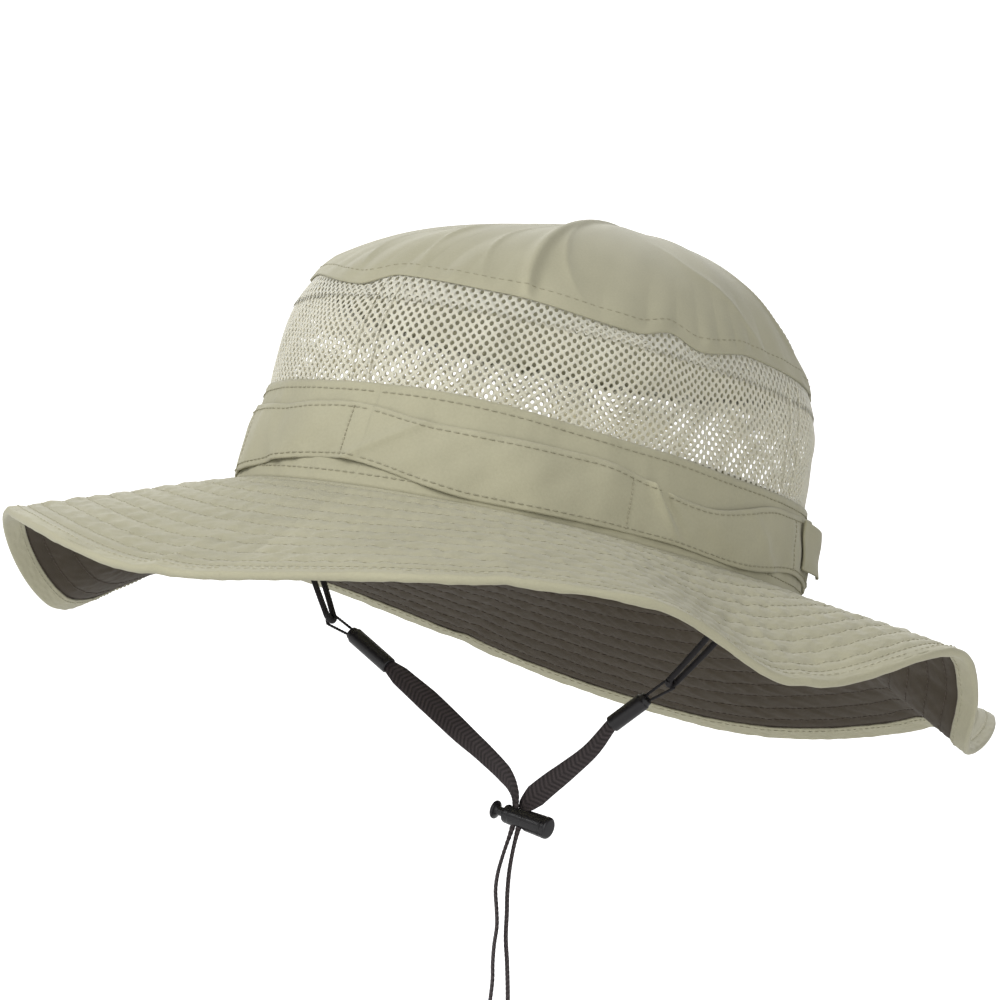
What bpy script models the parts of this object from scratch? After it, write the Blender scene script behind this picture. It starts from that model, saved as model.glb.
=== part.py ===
"""Boonie hat: cloth tip, see-through mesh wall, loop band, quilted brim and a
black chin strap with a spring cord lock.  Metres, +Z up, front of the hat on -Y."""
import math

import bpy
import bmesh
from mathutils import Matrix, Vector

MM = 0.001
HEAD_X = 86.0            # half width of the crown where it meets the brim
HEAD_Y = 104.0           # half length there
WALL_TOP = 30.0          # top of the plain cloth band at the foot of the crown
MESH_TOP = 66.0          # where the mesh ends and the cloth tip starts
CROWN_TOP = 103.5
TIP_LEAN = (16.0, 1.0)    # the soft tip leans this far to one side and back
BRIM_WIDTH = 73.0
CLOTH = 0.7
GAP = 0.3
AROUND = 48              # steps round the hat
# crests and dips of the brim: (degrees round from the front towards +X, its droop in degrees)
BRIM_WAVES = ((45, 18), (65, 28), (90, 10), (110, 30), (135, 15),
              (180, 27), (240, 8), (290, 38), (315, 20), (350, 33))
MESH_SEAMS = (-6, 98, 174, 250)      # degrees round from the front
MESH_NAMES = ("left_front", "left_back", "right_back", "right_front")

CORD_D = 2.0             # sewn anchor cord
LINK_D = 0.9             # thin loop that joins the cord to the sleeve
TAPE_D = 2.4             # chin tape, gathered to a round cord
RIGHT_SLEEVE = ((-55.0, -35.7), (-38.4, -44.5))      # its two ends (x, z)
LEFT_SLEEVE = ((55.6, -41.4), (45.0, -51.4))
LOCK_AT = (18.6, -84.9)  # where the two tape runs cross the lock (x, z)
LOCK_TILT = 8.6          # degrees the lock barrel points down
TAPE_LEAN = 8.0          # degrees the hanging tape leans to +X
RUN_APART = 2.7          # spacing of the two tape runs in the lock
LOOP_DOWN = 132.0        # from the lock to the middle of the turn at the tape's foot
LOOP_R = 6.0             # radius of that turn
PRESS = 2.0              # how far the plunger presses in

COLOURS = {
    "cloth": (0.46, 0.42, 0.30, 1),
    "mesh": (0.50, 0.48, 0.38, 1),
    "lining": (0.07, 0.052, 0.04, 1),
    "strap": (0.02, 0.018, 0.02, 1),
    "plastic": (0.015, 0.014, 0.015, 1),
    "spring": (0.6, 0.6, 0.62, 1),
}


def clear_scene():
    for thing in list(bpy.data.objects):
        bpy.data.objects.remove(thing, do_unlink=True)


def material(name, slot, roughness=0.8, metallic=0.0):
    made = bpy.data.materials.new(name)
    made.use_nodes = True
    shader = made.node_tree.nodes["Principled BSDF"]
    shader.inputs["Base Color"].default_value = COLOURS[slot]
    shader.inputs["Roughness"].default_value = roughness
    shader.inputs["Metallic"].default_value = metallic
    return made


def add_object(name, data, slot, roughness=0.8, metallic=0.0):
    thing = bpy.data.objects.new(name, data)
    PART.objects.link(thing)
    data.materials.append(material(name, slot, roughness, metallic))
    return thing


# ---------------------------------------------------------------- shape of the hat

def outward(angle):
    """Level unit vector pointing straight out of the crown at this angle."""
    push = Vector((math.sin(angle) / HEAD_X, -math.cos(angle) / HEAD_Y, 0))
    return push.normalized()


def crown_scale(height):
    """Size of the crown's oval at a height, against the one at its foot."""
    if height <= WALL_TOP:
        return 1.0 - 0.04 * height / WALL_TOP
    climb = (height - WALL_TOP) / (CROWN_TOP - WALL_TOP)
    return 0.96 * max(0.0, 1.0 - climb ** 2.9) ** (1 / 1.75)


def crown_point(angle, height, out=0.0):
    """Point on the crown in millimetres, moved straight out by `out`."""
    scale = crown_scale(height)
    lean = max(0.0, (height - MESH_TOP) / (CROWN_TOP - MESH_TOP)) ** 2
    spot = Vector((HEAD_X * scale * math.sin(angle), -HEAD_Y * scale * math.cos(angle), height))
    spot += Vector((TIP_LEAN[0] * lean, TIP_LEAN[1] * lean, 0))
    return spot + outward(angle) * out


def droop_at(angle):
    """Droop of the brim in radians, eased from each crest or dip to the next."""
    first, first_droop = BRIM_WAVES[0]
    place = first + (math.degrees(angle) - first) % 360
    turns = BRIM_WAVES + ((first + 360, first_droop),)
    for (start, before), (stop, after) in zip(turns, turns[1:]):
        if place <= stop:
            part = (place - start) / (stop - start)
            return math.radians(before + (after - before) * part * part * (3 - 2 * part))


def brim_point(angle, along, up):
    """Point on the brim: `along` from the crown seam, `up` off its top face."""
    droop = droop_at(angle)
    out = outward(angle)
    base = Vector((HEAD_X * math.sin(angle), -HEAD_Y * math.cos(angle), 0))
    level = out * math.cos(droop) - Vector((0, 0, math.sin(droop)))
    normal = out * math.sin(droop) + Vector((0, 0, math.cos(droop)))
    return base + level * along + normal * up


# ---------------------------------------------------------------- solid builders

def ring_solid(name, sections, closed, slot):
    """Join equal cross-sections, each a closed loop of points, into one solid."""
    bm = bmesh.new()
    loops = [[bm.verts.new(spot * MM) for spot in loop] for loop in sections]
    count = len(loops[0])
    pairs = len(loops) if closed else len(loops) - 1
    for step in range(pairs):
        here = loops[step]
        there = loops[(step + 1) % len(loops)]
        for k in range(count):
            nxt = (k + 1) % count
            # the same diagonal in every layer, so that stacked layers stay apart
            if here[k].co.xy.length < here[nxt].co.xy.length:
                bm.faces.new((here[k], here[nxt], there[nxt]))
                bm.faces.new((here[k], there[nxt], there[k]))
            else:
                bm.faces.new((here[k], here[nxt], there[k]))
                bm.faces.new((here[nxt], there[nxt], there[k]))
    if not closed:
        bm.faces.new(loops[0])
        bm.faces.new(loops[-1])
    bmesh.ops.recalc_face_normals(bm, faces=bm.faces)
    data = bpy.data.meshes.new(name)
    bm.to_mesh(data)
    bm.free()
    data.shade_smooth()
    data.set_sharp_from_angle(angle=math.radians(40))
    return add_object(name, data, slot)


def angles(start=0.0, stop=360.0, steps=AROUND):
    full = stop - start >= 360
    count = steps if full else steps + 1
    return [math.radians(start + (stop - start) * k / steps) for k in range(count)]


def wall_solid(name, low, high, inner, outer, slot, rows=1, start=0.0, stop=360.0, steps=AROUND):
    """Part of the crown wall between two heights and two outward offsets."""
    heights = [low + (high - low) * k / rows for k in range(rows + 1)]
    sections = []
    for angle in angles(start, stop, steps):
        outside = [crown_point(angle, height, outer) for height in heights]
        inside = [crown_point(angle, height, inner) for height in reversed(heights)]
        sections.append(outside + inside)
    return ring_solid(name, sections, stop - start >= 360, slot)


def brim_layer(name, low, high, slot):
    """One layer of the brim, from under the crown band out to the edge, between two depths."""
    steps = (-1.0, 20.0, 45.0, BRIM_WIDTH - 7.0, BRIM_WIDTH)
    sections = []
    for angle in angles():
        top = [brim_point(angle, along, high) for along in steps]
        bottom = [brim_point(angle, along, low) for along in reversed(steps)]
        sections.append(top + bottom)
    return ring_solid(name, sections, True, slot)


def smooth_route(points, pieces=4):
    """Smooth line through the points, `pieces` steps between each two."""
    ends = [points[0]] + list(points) + [points[-1]]
    line = []
    for k in range(1, len(ends) - 2):
        before, here, after, later = ends[k - 1:k + 3]
        for step in range(pieces):
            t = step / pieces
            bend = 2 * before - 5 * here + 4 * after - later
            twist = 3 * (here - after) + later - before
            line.append(here + 0.5 * t * (after - before + t * (bend + t * twist)))
    return line + [points[-1]]


def tube(name, points, diameter, slot, sides=2, roughness=0.8, metallic=0.0):
    curve = bpy.data.curves.new(name, "CURVE")
    curve.dimensions = "3D"
    curve.bevel_depth = diameter / 2 * MM
    curve.bevel_resolution = sides
    curve.use_fill_caps = True
    spline = curve.splines.new("POLY")
    spline.points.add(len(points) - 1)
    for place, spot in zip(spline.points, points):
        place.co = (*(spot * MM), 1)
    return add_object(name, curve, slot, roughness, metallic)


# ---------------------------------------------------------------- crown

def build_tip():
    """Domed cloth tip: one shell from the mesh seam to the top, thick inwards."""
    name = "crown_tip"
    rows = 7
    bm = bmesh.new()
    skins = []
    for out in (0.0, -CLOTH):
        rings = []
        for row in range(rows):
            turn = math.pi / 2 * row / rows
            height = MESH_TOP + (CROWN_TOP - MESH_TOP) * math.sin(turn) + out * math.sin(turn)
            ring = [crown_point(angle, height, out * math.cos(turn)) for angle in angles()]
            if out:
                ring = [spot - Vector((0, 0, CLOTH * math.sin(turn) * 0.3)) for spot in ring]
            rings.append([bm.verts.new(spot * MM) for spot in ring])
        top = crown_point(0, CROWN_TOP) + Vector((0, 0, out * 1.4))
        skins.append((rings, bm.verts.new(top * MM)))
    for rings, pole in skins:
        for low, high in zip(rings, rings[1:]):
            for k in range(AROUND):
                nxt = (k + 1) % AROUND
                bm.faces.new((low[k], low[nxt], high[nxt], high[k]))
        for k in range(AROUND):
            bm.faces.new((rings[-1][k], rings[-1][(k + 1) % AROUND], pole))
    outer, inner = skins[0][0][0], skins[1][0][0]
    for k in range(AROUND):
        nxt = (k + 1) % AROUND
        bm.faces.new((outer[k], outer[nxt], inner[nxt], inner[k]))
    bmesh.ops.recalc_face_normals(bm, faces=bm.faces)
    data = bpy.data.meshes.new(name)
    bm.to_mesh(data)
    bm.free()
    data.shade_smooth()
    return add_object(name, data, "cloth")


def build_crown():
    build_tip()
    wall_solid("crown_base_band", 0.6, WALL_TOP, -1.0, 0.0, "cloth")
    wall_solid("sweatband", 0.6, WALL_TOP - 1, -2.3, -1.3, "cloth")
    wall_solid("mesh_top_hem", MESH_TOP - 7, MESH_TOP - GAP, -2.3, -1.6, "mesh", 2)
    stops = MESH_SEAMS[1:] + (MESH_SEAMS[0] + 360,)
    for name, start, stop in zip(MESH_NAMES, MESH_SEAMS, stops):
        low = WALL_TOP + GAP
        high = MESH_TOP - GAP
        wall_solid("mesh_" + name, low, high, -0.8, 0.0, "mesh", 3, start + 0.2, stop - 0.2, 12)
    for place, name in zip(MESH_SEAMS, ("front", "left", "back", "right")):
        low = WALL_TOP + 1
        high = MESH_TOP - 8
        wall_solid("mesh_seam_tape_" + name, low, high, -2.2, -1.5, "mesh", 3, place - 2.5, place + 2.5, 2)
    wall_solid("hatband", 3.0, 24.0, 0.6, 1.6, "cloth")
    wall_solid("hatband_end_fold", 9.0, 24.0, 1.9, 2.9, "cloth", 1, 112, 121, 2)


# ---------------------------------------------------------------- brim

def build_binding():
    """Folded edge tape that wraps the outer edge of the brim."""
    under = -3 * CLOTH - 2 * GAP
    reach = BRIM_WIDTH
    outline = [
        (reach - 5.0, GAP), (reach - 5.0, GAP + 0.6), (reach + 0.6, GAP + 0.6),
        (reach + 1.0, under / 2), (reach + 0.6, under - GAP - 0.6),
        (reach - 7.0, under - GAP - 0.6), (reach - 7.0, under - GAP),
        (reach + 0.3, under - GAP), (reach + 0.35, under / 2), (reach + 0.3, GAP),
    ]
    sections = []
    for angle in angles():
        sections.append([brim_point(angle, along, up) for along, up in outline])
    ring_solid("brim_binding", sections, True, "cloth")


def build_brim():
    brim_layer("brim_top_cloth", -CLOTH, 0.0, "cloth")
    brim_layer("brim_stiffener", -2 * CLOTH - GAP, -CLOTH - GAP, "cloth")
    under = -3 * CLOTH - 2 * GAP
    brim_layer("brim_under_cloth", under, under + CLOTH, "lining")
    build_binding()


# ---------------------------------------------------------------- chin strap

def flat(x, z, y=0.0):
    return Vector((x, y, z))


def heading(start, end):
    return (end - start).normalized()


def build_anchor(side, route, turn_at):
    """Sewn cord: one leg down from the seam, a small turn, and the other leg back up."""
    radius = 2.4
    sideways = Vector((0, 1, 0))
    aim = heading(route[-1], turn_at)
    middle = turn_at - aim * radius
    turn = []
    for k in range(9):
        swing = math.pi * k / 8
        turn.append(middle + sideways * radius * math.cos(swing) + aim * radius * math.sin(swing))
    down, back = [], []
    for k, spot in enumerate(route):
        apart = 4.0 - 1.2 * k / len(route)
        down.append(spot + sideways * apart)
        back.append(spot - sideways * apart)
    line = smooth_route(down + [turn[0]], 3)[:-1] + turn
    line += smooth_route([turn[-1]] + back[::-1], 3)[1:]
    tube("anchor_cord_" + side, line, CORD_D, "strap")


def build_link(side, turn_at, sleeve_end):
    """Thin loop hooked round the sewn cord; both its ends go to the sleeve."""
    radius = (CORD_D + LINK_D) / 2 + GAP
    aim = heading(turn_at, sleeve_end)
    across = Vector((-aim.z, 0, aim.x))
    turn = []
    for k in range(9):
        swing = math.pi * k / 8
        turn.append(turn_at + across * radius * math.cos(swing) - aim * radius * math.sin(swing))
    stop = sleeve_end - aim * GAP
    first = [stop + across * 0.9, stop + across * 1.2 - aim * 1.2]
    last = [stop - across * 1.2 - aim * 1.2, stop - across * 0.9]
    tube("link_loop_" + side, first + turn + last, LINK_D, "strap")


def build_sleeve(side, start, end):
    """Moulded sleeve that holds the link loop and the end of the tape."""
    down = heading(start, end)
    long = (end - start).length
    outline = ((0.0, 1.7), (0.5, 2.2), (1.4, 2.7), (long - 0.5, 2.7), (long, 2.2))
    across = down.cross(Vector((0, 1, 0)))
    sections = []
    for along, radius in outline:
        loop = []
        for k in range(12):
            swing = math.tau * k / 12
            edge = Vector((0, 1, 0)) * math.cos(swing) + across * math.sin(swing)
            loop.append(start + down * along + edge * radius)
        sections.append(loop)
    ring_solid("sleeve_" + side, sections, False, "plastic")


def lock_axes():
    """Directions along the hanging tape, across it, and along the lock barrel."""
    lean = math.radians(TAPE_LEAN)
    tilt = math.radians(LOCK_TILT)
    along = Vector((math.sin(lean), 0, -math.cos(lean)))
    across = Vector((math.cos(lean), 0, math.sin(lean)))
    barrel = Vector((math.cos(tilt), 0, -math.sin(tilt)))
    return along, across, barrel


def build_tape():
    """One tape from sleeve to sleeve, down through the lock and back up."""
    along, across, _ = lock_axes()
    lock = flat(*LOCK_AT)
    from_right = [flat(*RIGHT_SLEEVE[1]), flat(-31.6, -48.4), flat(-21.0, -54.0), flat(-8.0, -61.4),
                  flat(4.0, -68.0), flat(12.4, -73.6)]
    from_left = [flat(*LEFT_SLEEVE[1]), flat(39.8, -60.1), flat(33.4, -67.0), flat(26.4, -73.8)]
    from_right[0] += heading(from_right[0], from_right[1]) * GAP
    from_left[0] += heading(from_left[0], from_left[1]) * GAP
    first = smooth_route(from_right + [lock - across * RUN_APART / 2 - along * 5.0], 3)
    last = smooth_route(from_left + [lock + across * RUN_APART / 2 - along * 5.0], 3)
    down = [lock - across * RUN_APART / 2 + along * reach for reach in (5, 25, 50, 75)]
    back = [lock + across * RUN_APART / 2 + along * reach for reach in (75, 50, 25, 5)]
    centre = lock + along * LOOP_DOWN
    loop = []
    for swing in range(0, 181, 20):
        turn = math.radians(swing)
        loop.append(centre - across * LOOP_R * math.cos(turn) + along * LOOP_R * math.sin(turn))
    spread = [lock - across * 3.2 + along * 95, lock - across * 5.2 + along * 115]
    gather = [lock + across * 5.2 + along * 115, lock + across * 3.2 + along * 95]
    tube("chin_tape", first + down + spread + loop + gather + back + last[::-1], TAPE_D, "strap")


def cylinder(name, start, axis, length, radius, sides=20):
    """Plain round bar from `start` along `axis`, as a mesh object in the tools."""
    bm = bmesh.new()
    bmesh.ops.create_cone(bm, cap_ends=True, segments=sides, radius1=radius * MM, radius2=radius * MM,
                          depth=length * MM)
    turn = axis.to_track_quat("Z", "Y").to_matrix().to_4x4()
    place = Matrix.Translation((start + axis * length / 2) * MM)
    bmesh.ops.transform(bm, matrix=place @ turn, verts=bm.verts)
    data = bpy.data.meshes.new(name)
    bm.to_mesh(data)
    bm.free()
    return bpy.data.objects.new(name, data)


def slot_tool(name, middle, low, high, width):
    """Slot cutter along the hanging tape, reaching from `low` to `high` across it."""
    along, across, _ = lock_axes()
    bm = bmesh.new()
    bmesh.ops.create_cube(bm, size=1.0)
    sideways = Vector((0, 1, 0))
    centre = middle + across * (low + high) / 2
    for vert in bm.verts:
        corner = vert.co.copy()
        spot = centre + across * (high - low) * corner.x + sideways * width * corner.y + along * 16 * corner.z
        vert.co = spot * MM
    bmesh.ops.recalc_face_normals(bm, faces=bm.faces)
    data = bpy.data.meshes.new(name)
    bm.to_mesh(data)
    bm.free()
    return bpy.data.objects.new(name, data)


def cut(target, tool):
    TOOLS.objects.link(tool)
    tool.hide_render = True
    tool.display_type = "WIRE"
    step = target.modifiers.new("cut", "BOOLEAN")
    step.operation = "DIFFERENCE"
    step.solver = "EXACT"
    step.object = tool


def turned(name, start, axis, outline, slot, sides=20):
    """Round piece with its outline given as (distance along, radius) pairs."""
    across = axis.cross(Vector((0, 1, 0)))
    sections = []
    for along, radius in outline:
        loop = []
        for k in range(sides):
            swing = math.tau * k / sides
            edge = Vector((0, 1, 0)) * math.cos(swing) + across * math.sin(swing)
            loop.append(start + axis * along + edge * radius)
        sections.append(loop)
    return ring_solid(name, sections, False, slot)


def build_lock():
    along, across, barrel = lock_axes()
    middle = flat(*LOCK_AT)
    mouth = middle - barrel * 4.6
    body = turned("cord_lock_barrel", mouth, barrel,
                  ((0.0, 3.4), (0.5, 3.7), (16.3, 3.7), (16.8, 3.4)), "plastic")
    cut(body, cylinder("barrel_bore", mouth - barrel, barrel, 16.6, 2.7))
    half = RUN_APART / 2 + TAPE_D / 2 + 0.35
    cut(body, slot_tool("barrel_slot", middle, -half, half, 3.1))
    plunger = turned("cord_lock_plunger", mouth - barrel * 4.4, barrel,
                     ((0.0, 2.8), (0.4, 3.1), (1.7, 3.1), (2.1, 2.8), (2.1, 2.4), (14.9, 2.4)), "plastic")
    cut(plunger, slot_tool("plunger_slot", middle, -half - PRESS, half, 3.1))
    coil = []
    side = barrel.cross(Vector((0, 1, 0)))
    for k in range(31):
        swing = math.tau * k / 10
        ring = Vector((0, 1, 0)) * math.cos(swing) + side * math.sin(swing)
        coil.append(mouth + barrel * (11.1 + 1.8 * k / 30) + ring * 1.6)
    tube("cord_lock_spring", coil, 0.45, "spring", 1, 0.3, 1.0)


def build_strap():
    sides = (
        ("right", [flat(-82.2, 0.2), flat(-77.4, -11.0), flat(-70.0, -22.3)],
         flat(-63.2, -32.7), RIGHT_SLEEVE),
        ("left", [flat(82.2, 0.2), flat(79.4, -11.0), flat(72.4, -22.2)],
         flat(62.4, -36.0), LEFT_SLEEVE),
    )
    for side, route, turn_at, sleeve in sides:
        start, end = flat(*sleeve[0]), flat(*sleeve[1])
        build_anchor(side, route, turn_at)
        build_link(side, turn_at, start)
        build_sleeve(side, start, end)
    build_tape()
    build_lock()


clear_scene()
PART = bpy.data.collections.new("boonie_hat")
TOOLS = bpy.data.collections.new("cutting_tools")
bpy.context.scene.collection.children.link(PART)
bpy.context.scene.collection.children.link(TOOLS)
build_crown()
build_brim()
build_strap()
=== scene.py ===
"""Boonie hat with a mesh crown, quilted brim and chin strap, seen from just under
the brim.  All sizes are in millimetres until a mesh is made."""

import math

import bpy
import bmesh
import numpy as np
from mathutils import Matrix, Vector


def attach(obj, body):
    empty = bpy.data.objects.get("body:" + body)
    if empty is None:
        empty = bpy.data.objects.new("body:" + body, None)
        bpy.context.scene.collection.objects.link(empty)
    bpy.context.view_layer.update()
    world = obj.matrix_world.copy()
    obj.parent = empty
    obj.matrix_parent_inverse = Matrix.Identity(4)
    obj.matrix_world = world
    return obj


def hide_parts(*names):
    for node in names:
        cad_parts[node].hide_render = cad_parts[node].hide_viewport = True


MM = 0.001
TAU = 2 * math.pi
ALONG_Y = np.array([0.0, 1.0, 0.0])

# camera: where it stands round the hat, how far it looks up, and how the hat is tipped in view
CAMERA_AROUND = 30.0
CAMERA_HEIGHT = -5.32
CAMERA_ROLL = 11.43
CAMERA_DISTANCE = 1700.0
CAMERA_LENS = 193.4
CAMERA_SHIFT = (-0.0201, 0.0454)
BACKDROP_AWAY = 6000.0
BACKDROP_HALF = 1000.0

# crown
HEAD_X = 86.0
HEAD_Y = 104.0
WALL_TOP = 30.0
MESH_TOP = 66.0
CROWN_TOP = 103.5
TIP_LEAN = (16.0, 1.0)
MESH_SEAMS = (-6, 98, 174, 250)
MESH_NAMES = ("left_front", "left_back", "right_back", "right_front")
MESH_PITCH = 3.1         # between two holes of a row
MESH_ROW = 1.56          # between two rows, each half a pitch along from the last
HOLE = (0.67, 0.77)      # half width and half height of a hole
HEM_LOW = 58.4           # foot of the second layer of mesh under the tip
# highs and lows of four edges: degrees round from the front, and the height there
BASE_TOP = {-25: 31, 15: 32, 60: 29, 76: 28, 150: 30, 300: 31}
TIP_EDGE = {-45: 68, -15: 63, -5: 67, 20: 66, 50: 63, 58: 66, 65: 63, 80: 67, 150: 66, 250: 65}
BAND_TOP = {-60: 25, -28: 23, -5: 25, 15: 22, 45: 22, 70: 16, 95: 24, 118: 26, 180: 24, 250: 23}
BAND_BOTTOM = {-45: 2, -5: 7, 25: 1, 63: 2, 80: 1, 105: 6, 160: 3, 210: 4, 260: 2}
BAND_TACKS = (-5, 54, 103, 158, 212, 263, 310)

# brim
BRIM_WIDTH = 73.0
# crests and dips: degrees round from the front towards +X, and the droop there in degrees
BRIM_WAVES = {45: 18, 65: 28, 90: 10, 110: 30, 135: 15, 180: 27, 240: 8, 290: 38, 315: 20, 350: 33}
CLOTH = 0.7
GAP = 0.3
QUILT_STEP = 7.0
QUILT_ROWS = 9
QUILTING = {"pitch": 2.6, "length": 1.9, "width": 0.34, "lift": 0.1}
LINING_UP = -2.0
BINDING_TOP, BINDING_LOW = 0.42, -2.4
BRIM_CREASES = ((-9, 1.1), (30, 0.8), (67, 1.1), (100, 0.7), (150, 0.8), (215, 0.9), (262, 1.0), (318, 0.9))

# chin strap
CORD_D = 2.0
LINK_D = 0.9
RIGHT_SLEEVE = ((-55.0, -35.7), (-38.4, -44.5))
LEFT_SLEEVE = ((55.6, -41.4), (45.0, -51.4))
TAPE_WIDTH = 7.2
TAPE_THICK = 1.0
# share of the way from each sleeve to the lock: full width of the tape there, and its turn edge-on in degrees
RIGHT_RUN = {0.0: (3.5, 0), 0.1: (6.4, 0), 0.28: (7.4, 0), 0.45: (7.2, 8), 0.6: (7.2, 34), 0.8: (7.2, 50),
             0.9: (6.0, 70), 1.0: (3.4, 88)}
LEFT_RUN = {0.0: (3.6, 0), 0.2: (4.8, 0), 0.4: (5.6, 0), 0.6: (6.7, 0), 0.8: (7.4, 8), 0.9: (6.4, 42),
            1.0: (3.4, 86)}
LOCK_AT = (18.6, -84.9)
LOCK_TILT = 8.6
TAPE_LEAN = 8.0
RUN_APART = 2.7
PRESS = 2.0
SLOT_WIDTH = 3.1         # front to back, for the tape
BARREL_BEFORE = 4.6      # the barrel starts this far before the tape
SPRING_TURNS = 3
SPRING_RADIUS = 1.6
SPRING_WIRE = 0.42

CLOTH_COLOUR = (0.420, 0.400, 0.280)
MESH_COLOUR = (0.60, 0.58, 0.48)
THREAD_COLOUR = (0.35, 0.33, 0.235)
BRIM_THREAD = (0.47, 0.45, 0.33)
LINING_COLOUR = (0.054, 0.041, 0.025)
LINING_THREAD = (0.085, 0.067, 0.05)
STRAP_COLOUR = (0.052, 0.042, 0.043)
CORD_COLOUR = (0.014, 0.012, 0.014)
PLASTIC_COLOUR = (0.014, 0.013, 0.015)

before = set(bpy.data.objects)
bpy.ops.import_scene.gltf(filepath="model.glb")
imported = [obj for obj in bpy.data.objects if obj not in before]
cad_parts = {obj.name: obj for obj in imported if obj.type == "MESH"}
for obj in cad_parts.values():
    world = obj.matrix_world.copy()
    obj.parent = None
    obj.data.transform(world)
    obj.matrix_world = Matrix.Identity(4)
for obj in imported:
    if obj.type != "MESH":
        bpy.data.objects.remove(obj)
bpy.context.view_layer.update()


# ---------------------------------------------------------------- numbers

def ring_value(places, degrees):
    """Smooth value round the hat from a few (angle: value) places."""
    keys = np.array(sorted(k % 360 for k in places), float)
    values = np.array([places[k] for k in sorted(places, key=lambda k: k % 360)], float)
    keys = np.concatenate([[keys[-1] - 360], keys, [keys[0] + 360]])
    values = np.concatenate([[values[-1]], values, [values[0]]])
    spot = np.asarray(degrees, float) % 360
    step = np.clip(np.searchsorted(keys, spot, side="right") - 1, 0, len(keys) - 2)
    part = (spot - keys[step]) / (keys[step + 1] - keys[step])
    part = part * part * (3 - 2 * part)
    return values[step] * (1 - part) + values[step + 1] * part


def ripple(u, v, size, seed, terms=7):
    """Soft random relief of about -1 to 1 that repeats every turn of u (radians)."""
    dice = np.random.default_rng(seed)
    total = np.zeros(np.broadcast(u, v).shape)
    around = 95.0 * TAU / size
    for _ in range(terms):
        turns = round(around * dice.uniform(0.35, 1.25)) * dice.choice((-1, 1))
        up = TAU / size * dice.uniform(-1.1, 1.1)
        total = total + np.sin(turns * u + up * v + dice.uniform(0, TAU))
    return total / math.sqrt(terms) / 1.2


def angle_table():
    """Angles of even steps of length round the crown's oval."""
    angle = np.linspace(0, TAU, 2881)
    step = np.hypot(HEAD_X * np.cos(angle), HEAD_Y * np.sin(angle))
    run = np.concatenate([[0], np.cumsum((step[1:] + step[:-1]) / 2 * np.diff(angle))])
    return run / run[-1], angle, run[-1]


EVEN_SHARE, EVEN_ANGLE, HEAD_ROUND = angle_table()


def even_angle(share):
    """Angle after this share of the way round, measured along the cloth."""
    return np.interp(share % 1.0, EVEN_SHARE, EVEN_ANGLE) + TAU * np.floor(share)


def outward(angle):
    push = np.stack([np.sin(angle) / HEAD_X, -np.cos(angle) / HEAD_Y, 0 * angle], -1)
    return push / np.linalg.norm(push, axis=-1, keepdims=True)


def crown_scale(height):
    climb = np.clip((height - WALL_TOP) / (CROWN_TOP - WALL_TOP), 0, 1)
    wall = 1.0 - 0.04 * np.clip(height, -20, WALL_TOP) / WALL_TOP
    dome = 0.96 * (1.0 - climb ** 2.9) ** (1 / 1.75)
    return np.where(height <= WALL_TOP, wall, dome)


def crown(angle, height, out):
    """Points on the crown wall, moved level outwards by `out`."""
    angle, height, out = np.broadcast_arrays(angle, height, out)
    scale = crown_scale(height)
    lean = np.clip((height - MESH_TOP) / (CROWN_TOP - MESH_TOP), 0, None) ** 2
    spot = np.stack([
        HEAD_X * scale * np.sin(angle) + TIP_LEAN[0] * lean,
        -HEAD_Y * scale * np.cos(angle) + TIP_LEAN[1] * lean,
        height,
    ], -1)
    return spot + outward(angle) * out[..., None]


def droop_at(angle):
    return np.radians(ring_value(BRIM_WAVES, np.degrees(angle)))


def brim(angle, along, up):
    """Points on the brim: `along` out from the crown seam, `up` off the top face."""
    angle, along, up = np.broadcast_arrays(angle, along, up)
    droop = droop_at(angle)[..., None]
    out = outward(angle)
    rise = np.array([0.0, 0.0, 1.0])
    base = np.stack([HEAD_X * np.sin(angle), -HEAD_Y * np.cos(angle), 0 * angle], -1)
    level = out * np.cos(droop) - rise * np.sin(droop)
    normal = out * np.sin(droop) + rise * np.cos(droop)
    return base + level * along[..., None] + normal * up[..., None]


# ---------------------------------------------------------------- meshes

def mesh_object(name, verts, faces, smooth=True):
    """Object from an array of points in millimetres and an array of equal-sided faces."""
    sides = faces.shape[1]
    data = bpy.data.meshes.new(name)
    data.vertices.add(len(verts))
    data.vertices.foreach_set("co", (np.asarray(verts) * MM).astype(np.float32).ravel())
    data.loops.add(faces.size)
    data.loops.foreach_set("vertex_index", faces.astype(np.int32).ravel())
    data.polygons.add(len(faces))
    data.polygons.foreach_set("loop_start", np.arange(0, faces.size, sides, dtype=np.int32))
    data.update(calc_edges=True)
    data.validate()
    if smooth:
        data.shade_smooth()
    thing = bpy.data.objects.new(name, data)
    bpy.context.scene.collection.objects.link(thing)
    return thing


def edit_mesh(thing):
    """Editable copy of an object's mesh; close_mesh writes it back."""
    bm = bmesh.new()
    bm.from_mesh(thing.data)
    bm.verts.ensure_lookup_table()
    return bm


def close_mesh(bm, thing):
    bm.to_mesh(thing.data)
    bm.free()


def shade_round(thing):
    """Smooth shading that keeps the sharp corners of a moulded piece."""
    thing.data.shade_smooth()
    thing.data.set_sharp_from_angle(angle=math.radians(32))


def grid_faces(rows, columns, wrap):
    """Quads of a grid of points, wrapping round its columns if asked."""
    last = columns if wrap else columns - 1
    row, column = np.meshgrid(np.arange(rows - 1), np.arange(last), indexing="ij")
    nxt = (column + 1) % columns
    quads = np.stack([row * columns + column, row * columns + nxt,
                      (row + 1) * columns + nxt, (row + 1) * columns + column], -1)
    return quads.reshape(-1, 4)


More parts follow.
